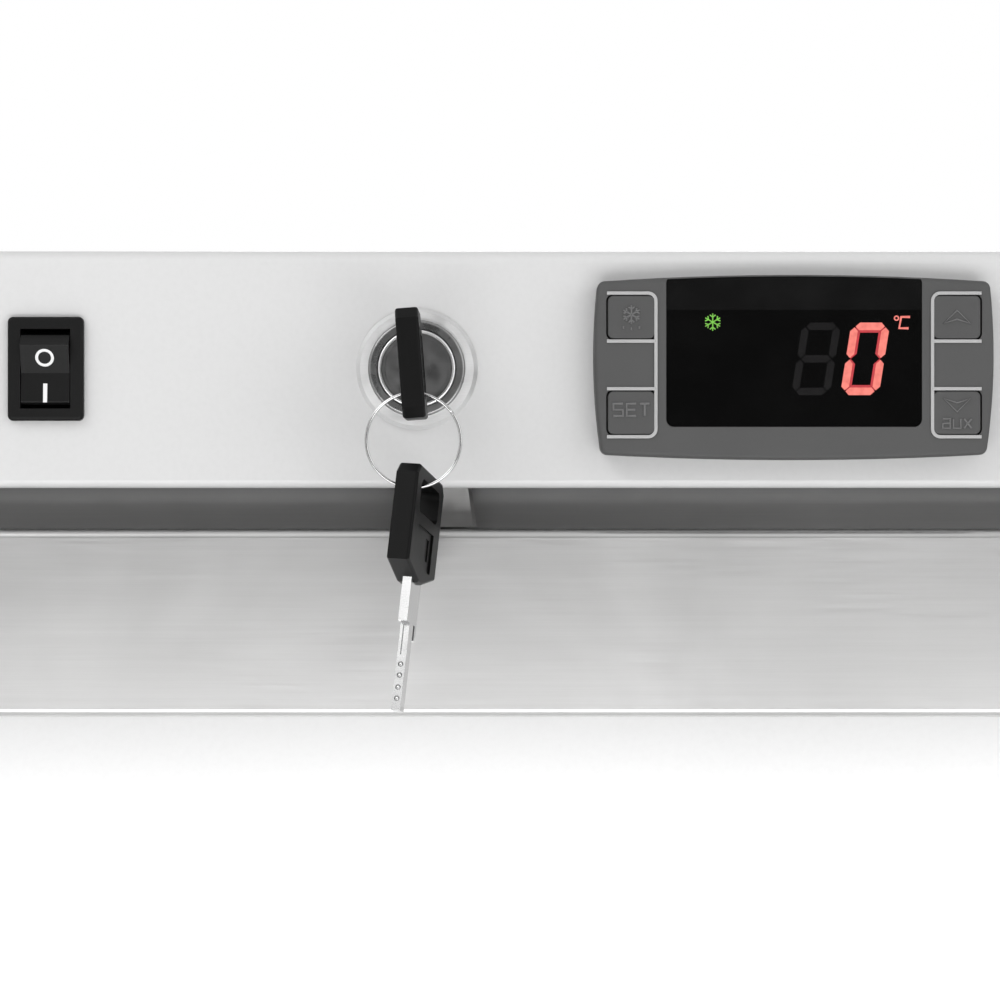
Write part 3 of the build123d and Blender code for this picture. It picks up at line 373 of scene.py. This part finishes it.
def dress_cad_nodes():
    """Gives every CAD node its material, and a fine bevel to the sheet and moulded ones."""
    bevels = {"side_panel_left": 0.4, "side_panel_right": 0.4, "rear_panel": 0.3, "top_deck": 0.5,
              "front_grille": 0.5, "base_pan": 0.4, "switch_rocker": 0.15, "switch_housing": 0.12,
              "key_head": 0.15, "spare_key_head": 0.15, "lock_cam": 0.2, "door_liner": 0.4,
              "condenser": 0.1, "caster_fork_left": 0.3, "caster_fork_right": 0.3,
              "brake_lever_left": 0.5, "brake_lever_right": 0.5, "caster_plates": 0.3}
    for key, nodes in NODE_MATERIALS.items():
        for name in nodes:
            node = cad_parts[name]
            node.data.materials.clear()
            node.data.materials.append(MATERIALS[key])
            if name in bevels:
                bevel = node.modifiers.new("edge", "BEVEL")
                bevel.width = bevels[name] * MM
                bevel.segments = 2
                bevel.limit_method = "ANGLE"
                bevel.angle_limit = math.radians(40)
                bevel.harden_normals = True


# ================= mesh building =================

def new_object(name, mesh, material, body):
    piece = bpy.data.objects.new(name, mesh)
    bpy.context.scene.collection.objects.link(piece)
    mesh.materials.clear()
    mesh.materials.append(MATERIALS[material])
    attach(piece, body)
    return piece


def mesh_from(bm, name, smooth=True):
    mesh = bpy.data.meshes.new(name)
    bmesh.ops.recalc_face_normals(bm, faces=bm.faces)
    bm.to_mesh(mesh)
    bm.free()
    if smooth:
        for polygon in mesh.polygons:
            polygon.use_smooth = True
    return mesh


def fascia_matrix(x, y, z, lean=0.0):
    """Maps a drawing's x and y to the world's X and Z at a place, leaned back about X."""
    return Matrix.Translation((x, y, z)) @ Matrix.Rotation(math.radians(90 + lean), 4, "X")


def ridge(name, paths, width, height, place, material, body, closed=False):
    """Raised strokes: each path is drawn in a plane and gets a half-round section."""
    curve = bpy.data.curves.new(name, "CURVE")
    curve.dimensions = "3D"
    curve.bevel_depth = width / 2
    curve.bevel_resolution = 3
    curve.use_fill_caps = True
    for points in paths:
        spline = curve.splines.new("POLY")
        spline.points.add(len(points) - 1)
        for point, (x, y) in zip(spline.points, points):
            point.co = (x, y, 0, 1)
        spline.use_cyclic_u = closed
    holder = bpy.data.objects.new(name + "_curve", curve)
    bpy.context.scene.collection.objects.link(holder)
    bpy.context.view_layer.update()
    depsgraph = bpy.context.evaluated_depsgraph_get()
    mesh = bpy.data.meshes.new_from_object(holder.evaluated_get(depsgraph))
    bpy.data.objects.remove(holder)
    mesh.name = name
    mesh.transform(place @ Matrix.Diagonal((1, 1, 2 * height / width, 1)))
    for polygon in mesh.polygons:
        polygon.use_smooth = True
    return new_object(name, mesh, material, body)


def slabs(name, outlines, thickness, place, material, body, bevel=0.0):
    """Flat shapes drawn as outlines, given a thickness towards the viewer."""
    bm = bmesh.new()
    for outline in outlines:
        low = [bm.verts.new((x, y, 0)) for x, y in outline]
        high = [bm.verts.new((x, y, thickness)) for x, y in outline]
        bm.faces.new(low)
        bm.faces.new(high)
        for n in range(len(outline)):
            m = (n + 1) % len(outline)
            bm.faces.new((low[n], low[m], high[m], high[n]))
    mesh = mesh_from(bm, name, smooth=False)
    mesh.transform(place)
    piece = new_object(name, mesh, material, body)
    if bevel:
        modifier = piece.modifiers.new("edge", "BEVEL")
        modifier.width = bevel
        modifier.segments = 2
    return piece


def arc(cx, cy, radius, start, end, steps=12):
    """Points along an arc, with its angles in degrees."""
    turns = [math.radians(start + (end - start) * n / steps) for n in range(steps + 1)]
    return [(cx + radius * math.cos(t), cy + radius * math.sin(t)) for t in turns]


def circle(cx, cy, radius, steps=40):
    return arc(cx, cy, radius, 0, 360 - 360 / steps, steps - 1)


# ================= rocker switch marks =================

def rocker_marks():
    """White O on the upper face of the rocker and white I on the lower one."""
    upper_z, upper_d, upper_lean = 2.2 * MM, -2.86 * MM, 21.6
    lower_z, lower_d, lower_lean = -5.0 * MM, -1.97 * MM, -4.8
    half_width, half_length = 0.42 * MM, 1.95 * MM
    x = middle("switch_rocker").x
    ridge("rocker_mark_off", [circle(0, 0, 1.62 * MM)], 0.62 * MM, 0.06 * MM,
          fascia_matrix(x, FRONT_Y + upper_d, LOCK.z + upper_z, upper_lean),
          "white_print", "rocker", closed=True)
    bar = [(-half_width, -half_length), (half_width, -half_length),
           (half_width, half_length), (-half_width, half_length)]
    slabs("rocker_mark_on", [bar], 0.05 * MM,
          fascia_matrix(x, FRONT_Y + lower_d, LOCK.z + lower_z, lower_lean),
          "white_print", "rocker")


def lock_bead():
    """Bright bead round the lock's plug."""
    barrel_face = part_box("lock_barrel")[0].y
    ridge("lock_bead", [circle(0, 0, 7.6 * MM, 64)], 0.7 * MM, 0.25 * MM,
          fascia_matrix(LOCK.x, barrel_face, LOCK.z), "bead", "cabinet", closed=True)


# ================= controller face =================

def on_window(x, z):
    """A place on the window, from millimetres beside and above the controller's centre."""
    return fascia_matrix(WINDOW_X + x * MM, WINDOW_FACE_Y + 0.01 * MM, LOCK.z + z * MM)


def segment_outlines(width, height, stroke, gap, slant, lit):
    """The outlines of a seven-segment digit, centred on its middle."""
    w, h, s = width / 2, height / 2, stroke
    g, half = gap / 2, stroke / 2

    def bar(x0, x1, y):
        return [(x0 + half + g, y), (x0 + s + g, y + half), (x1 - s - g, y + half),
                (x1 - half - g, y), (x1 - s - g, y - half), (x0 + s + g, y - half)]

    def post(x, y0, y1):
        return [(x, y0 + half + g), (x + half, y0 + s + g), (x + half, y1 - s - g),
                (x, y1 - half - g), (x - half, y1 - s - g), (x - half, y0 + s + g)]

    left, right = -w + half, w - half
    top, low = h - half, -h + half
    parts = {
        "a": bar(left - half, right + half, top), "d": bar(left - half, right + half, low),
        "g": bar(left - half, right + half, 0),
        "f": post(left, -half, top + half), "b": post(right, -half, top + half),
        "e": post(left, low - half, half), "c": post(right, low - half, half),
    }
    lean = math.tan(math.radians(slant))
    return [[(x + y * lean, y) for x, y in parts[name]] for name in lit]


def snowflake(radius, branch=0.42):
    """Six arms with a pair of branches each."""
    paths = []
    for n in range(6):
        turn = math.radians(60 * n + 30)
        tip = (radius * math.cos(turn), radius * math.sin(turn))
        paths.append([(0, 0), tip])
        fork = (tip[0] * 0.58, tip[1] * 0.58)
        for way in (-1, 1):
            away = turn + way * math.radians(52)
            reach = radius * branch
            end = (fork[0] + reach * math.cos(away), fork[1] + reach * math.sin(away))
            paths.append([fork, end])
    return paths


def display():
    """Lit zero, unlit eight beside it, degree mark and C, and the cooling mark."""
    digit = {"width": 7.9 * MM, "height": 14.8 * MM, "slant": 9}
    lit_x, unlit_x, digit_z = 14.5, 4.5, 1.8
    zero = "abcdef"
    edge = segment_outlines(stroke=2.05 * MM, gap=0.05 * MM, lit=zero, **digit)
    core = segment_outlines(stroke=1.55 * MM, gap=0.4 * MM, lit=zero, **digit)
    slabs("display_zero_edge", edge, 0.02 * MM, on_window(lit_x, digit_z), "red_edge", "cabinet")
    slabs("display_zero", core, 0.04 * MM, on_window(lit_x, digit_z), "red_core", "cabinet")
    unlit = segment_outlines(stroke=1.5 * MM, gap=0.35 * MM, lit="abcdefg", **digit)
    slabs("display_unlit_eight", unlit, 0.02 * MM, on_window(unlit_x, digit_z), "ghost", "cabinet")
    ridge("display_degree", [circle(0, 0, 0.42 * MM, 20)], 0.3 * MM, 0.03 * MM,
          on_window(20.9, 10.1), "red_core", "cabinet", closed=True)
    hook = [(1.05, 1.15), (-0.75, 1.15), (-1.15, -1.15), (0.75, -1.15)]
    ridge("display_celsius", [[(x * MM, y * MM) for x, y in hook]], 0.55 * MM, 0.03 * MM,
          on_window(22.6, 9.2), "red_core", "cabinet")
    ridge("display_cooling", snowflake(1.75 * MM), 0.26 * MM, 0.03 * MM,
          on_window(-16.6, 9.3), "green", "cabinet")


def on_pad(node, x=0.0, z=0.0):
    """A place on a key pad's face."""
    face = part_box(node)[0].y
    centre = middle(node)
    return fascia_matrix(centre.x + x * MM, face - 0.01 * MM, centre.z + z * MM)


def letters(text, height, spacing):
    """Plain square lettering as strokes; returns paths centred on the origin."""
    w = height * 0.78
    glyphs = {
        "S": [[(w, 1), (0, 1), (0, 0.5), (w, 0.5), (w, 0), (0, 0)]],
        "E": [[(w, 1), (0, 1), (0, 0), (w, 0)], [(0, 0.5), (w * 0.9, 0.5)]],
        "T": [[(0, 1), (w, 1)], [(w / 2, 1), (w / 2, 0)]],
        "a": [[(0, 1), (w, 1), (w, 0), (0, 0), (0, 0.52), (w, 0.52)]],
        "u": [[(0, 1), (0, 0), (w, 0), (w, 1)]],
        "x": [[(0, 1), (w, 0)], [(0, 0), (w, 1)]],
    }
    paths = []
    total = len(text) * w + (len(text) - 1) * spacing
    for n, letter in enumerate(text):
        start = -total / 2 + n * (w + spacing)
        for path in glyphs[letter]:
            paths.append([(start + x, (y - 0.5) * height) for x, y in path])
    return paths


def key_lines():
    """Pale raised lines along the grooves that part the six keys, three at each end of the window:
    a painted highlight for the light the groove edges catch.
    """
    face = min(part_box("button_set")[0].y, BEZEL_FACE_Y) - 0.02 * MM
    place = fascia_matrix(WINDOW_X, face, LOCK.z)
    corner, top, bottom = 1.6, 15.2, -14.1
    for side, way in (("left", -1), ("right", 1)):
        inner, outer = 28.2 * way, 38.2 * way
        bend = inner + corner * way
        turn, foot = (0, -90) if way < 0 else (180, 270)
        upper = arc(bend, top - corner, corner, 90, turn)
        lower = arc(bend, bottom + corner, corner, turn, foot)
        top_line = [(outer, top)] + upper
        bottom_line = lower + [(outer, bottom)]
        upright = [(inner, top - corner), (inner, bottom + corner)]
        cross = [[(inner, z), (outer, z)] for z in (5.4, -4.3)]
        paths = [top_line, bottom_line, upright] + cross
        paths = [[(x * MM, z * MM) for x, z in path] for path in paths]
        ridge(f"key_lines_{side}", paths, 0.7 * MM, 0.05 * MM, place, "groove_highlight_line", "cabinet")


def pad_marks():
    """Raised legends on the four travelling keys, in a lighter grey that paints the highlight on
    their relief.
    """
    flake = snowflake(1.9 * MM, 0.4)
    drops = [[(-1.6 * MM, -2.3 * MM), (-1.6 * MM, -2.9 * MM)], [(0, -2.6 * MM), (0, -3.2 * MM)],
             [(1.6 * MM, -2.3 * MM), (1.6 * MM, -2.9 * MM)]]
    ridge("legend_defrost", flake + drops, 0.42 * MM, 0.3 * MM, on_pad("button_defrost", 0, 0.5),
          "legend", "button_defrost")
    ridge("legend_set", letters("SET", 2.5 * MM, 0.75 * MM), 0.55 * MM, 0.3 * MM,
          on_pad("button_set", 0, 0.6), "legend", "button_set")
    up = [[(-2.7 * MM, -1.3 * MM), (0, 1.4 * MM), (2.7 * MM, -1.3 * MM), (0, -0.4 * MM)]]
    ridge("legend_up", up, 0.42 * MM, 0.3 * MM, on_pad("button_up"), "legend", "button_up",
          closed=True)
    down = [[(-2.7 * MM, 1.3 * MM), (0, -1.4 * MM), (2.7 * MM, 1.3 * MM), (0, 0.4 * MM)]]
    ridge("legend_down", down, 0.42 * MM, 0.3 * MM, on_pad("button_down", 0, 1.6), "legend",
          "button_down", closed=True)
    ridge("legend_aux", letters("aux", 1.9 * MM, 0.7 * MM), 0.42 * MM, 0.3 * MM,
          on_pad("button_down", 0, -2.2), "legend", "button_down")


# ================= key ring =================

def split_ring():
    """Two turns of wire that spread where they pass each other."""
    low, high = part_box("key_ring")
    centre = (low + high) / 2
    wire = 0.31 * MM
    radius = (high.x - low.x) / 2 - wire
    turns, steps, sides = 2, 160, 8
    start, spread, squeeze = 0.6, 0.55 * MM, 0.6
    bm = bmesh.new()
    rings = []
    for n in range(steps + 1):
        share = n / steps
        turn = share * turns * 2 * math.pi + start
        lift = (share - 0.5) * spread
        spot = Vector((radius * math.cos(turn), lift, radius * math.sin(turn)))
        outward = Vector((math.cos(turn), 0, math.sin(turn)))
        section = []
        for k in range(sides):
            a = 2 * math.pi * k / sides
            section.append(bm.verts.new(centre + spot + outward * wire * math.cos(a)
                                        + Vector((0, 1, 0)) * wire * squeeze * math.sin(a)))
        rings.append(section)
    for first, second in zip(rings, rings[1:]):
        for k in range(sides):
            m = (k + 1) % sides
            bm.faces.new((first[k], first[m], second[m], second[k]))
    bm.faces.new(rings[0])
    bm.faces.new(rings[-1])
    piece = new_object("split_ring", mesh_from(bm, "split_ring"), "ring_steel", "key_ring")
    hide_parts("key_ring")


# ================= fasteners =================

def screws():
    """Pan-head screws that hold the rear panel and the front grille, with their cross recesses as
    painted shade: flat black crosses.
    """
    radius, height, inset = 3.4 * MM, 1.6 * MM, 14 * MM
    recess_shade_size = (3.2 * MM, 0.1 * MM, 0.7 * MM, 1)

    def heads(name, panel, face, way, rows):
        low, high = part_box(panel)
        places = [(x, z) for x in (low.x + inset, high.x - inset) for z in rows(low.z, high.z)]
        head_mesh, recess_shade_mesh = bmesh.new(), bmesh.new()
        for x, z in places:
            facing = Matrix.Rotation(math.radians(-90 * way), 4, "X")
            flat = Matrix.Translation((x, face + way * height / 2, z)) @ facing
            bmesh.ops.create_cone(head_mesh, cap_ends=True, segments=32, radius1=radius,
                                  radius2=radius * 0.72, depth=height, matrix=flat)
            # painted shade: a flat black cross on each head stands in for the shaded cross recess
            for turn in (20, 110):
                turned = Matrix.Rotation(math.radians(turn), 4, "Y")
                bar = (Matrix.Translation((x, face + way * height, z)) @ turned
                       @ Matrix.Diagonal(recess_shade_size))
                bmesh.ops.create_cube(recess_shade_mesh, size=1, matrix=bar)
        new_object(f"{name}_heads", mesh_from(head_mesh, name, False), "zinc", "cabinet")
        new_object(f"{name}_painted_recess_shade", mesh_from(recess_shade_mesh, name, False), "black", "cabinet")

    def spread(count):
        """Heights spaced evenly up a panel, from its inset at each end."""
        return lambda low, high: [low + inset + n * (high - low - 2 * inset) / (count - 1)
                                  for n in range(count)]

    heads("rear_screws", "rear_panel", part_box("rear_panel")[1].y, 1, spread(4))
    heads("grille_screws", "front_grille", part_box("front_grille")[0].y, -1, spread(2))


# ================= studio =================

def studio():
    """Pale floor, soft lights, and a white world that is dim straight in front."""
    bm = bmesh.new()
    bmesh.ops.create_grid(bm, x_segments=8, y_segments=8, size=6)
    floor = bpy.data.objects.new("floor", mesh_from(bm, "floor"))
    bpy.context.scene.collection.objects.link(floor)
    pale = Shader("floor_pale", grey(236), roughness=0.6)
    pale.base(pale.ramp(pale.noise(0.6, 2), (0.3, grey(233)), (0.7, grey(238))))
    floor.data.materials.append(pale.material)

    dim_starts, dim_full = math.radians(24), math.radians(11)
    world = bpy.data.worlds.new("studio")
    bpy.context.scene.world = world
    world.use_nodes = True
    tree = world.node_tree
    tree.nodes.clear()
    output = tree.nodes.new("ShaderNodeOutputWorld")
    mix = tree.nodes.new("ShaderNodeMixShader")
    seen = tree.nodes.new("ShaderNodeBackground")
    seen.inputs["Color"].default_value = (1, 1, 1, 1)
    seen.inputs["Strength"].default_value = 1.0
    lit = tree.nodes.new("ShaderNodeBackground")
    lit.inputs["Strength"].default_value = 0.8
    path = tree.nodes.new("ShaderNodeLightPath")
    coords = tree.nodes.new("ShaderNodeTexCoord")
    along = tree.nodes.new("ShaderNodeVectorMath")
    along.operation = "DOT_PRODUCT"
    along.inputs[1].default_value = (0, -1, 0)
    dim = tree.nodes.new("ShaderNodeMapRange")
    dim.interpolation_type = "SMOOTHSTEP"
    dim.inputs["From Min"].default_value = math.cos(dim_starts)
    dim.inputs["From Max"].default_value = math.cos(dim_full)
    dim.inputs["To Min"].default_value = 1.0
    dim.inputs["To Max"].default_value = 0.06
    tree.links.new(coords.outputs["Generated"], along.inputs[0])
    tree.links.new(along.outputs["Value"], dim.inputs["Value"])
    tree.links.new(dim.outputs["Result"], lit.inputs["Color"])
    tree.links.new(path.outputs["Is Camera Ray"], mix.inputs["Fac"])
    tree.links.new(lit.outputs["Background"], mix.inputs[1])
    tree.links.new(seen.outputs["Background"], mix.inputs[2])
    tree.links.new(mix.outputs["Shader"], output.inputs["Surface"])

    def softbox(name, place, aim, width, height, power):
        light = bpy.data.lights.new(name, "AREA")
        light.shape = "RECTANGLE"
        light.size = width
        light.size_y = height
        light.energy = power
        holder = bpy.data.objects.new(name, light)
        holder.location = place
        holder.rotation_euler = (Vector(aim) - Vector(place)).to_track_quat("-Z", "Y").to_euler()
        bpy.context.scene.collection.objects.link(holder)

    target = (LOCK.x, FRONT_Y, LOCK.z)
    softbox("key_light", (-1.3, -1.7, 2.3), target, 1.6, 1.2, 14)
    softbox("fill_light", (1.8, -1.9, 1.5), target, 1.4, 1.4, 8)
    softbox("low_light", (0.1, -1.9, 0.25), (0, FRONT_Y, 0.7), 1.8, 0.5, 12)
    softbox("back_light", (0.6, 2.4, 2.2), (0, 0, 0.6), 2.0, 1.2, 16)


def camera():
    """Straight on, level, a little below and to the right of the lock."""
    distance = 650 * MM
    view_width = 206.2 * MM
    data = bpy.data.cameras.new("camera")
    data.sensor_width = 36
    data.lens = data.sensor_width * distance / view_width
    data.clip_start = 0.02
    data.clip_end = 50
    holder = bpy.data.objects.new("camera", data)
    right_of_lock, below_lock = 17.1 * MM, 27 * MM
    holder.location = (LOCK.x + right_of_lock, FRONT_Y - distance, LOCK.z - below_lock)
    holder.rotation_euler = (math.radians(90), 0, 0)
    bpy.context.scene.collection.objects.link(holder)
    bpy.context.scene.camera = holder


# ================= build =================

camera()
studio()
bpy.context.scene.view_settings.view_transform = "Standard"
dress_cad_nodes()
rocker_marks()
lock_bead()
display()
key_lines()
pad_marks()
split_ring()
screws()
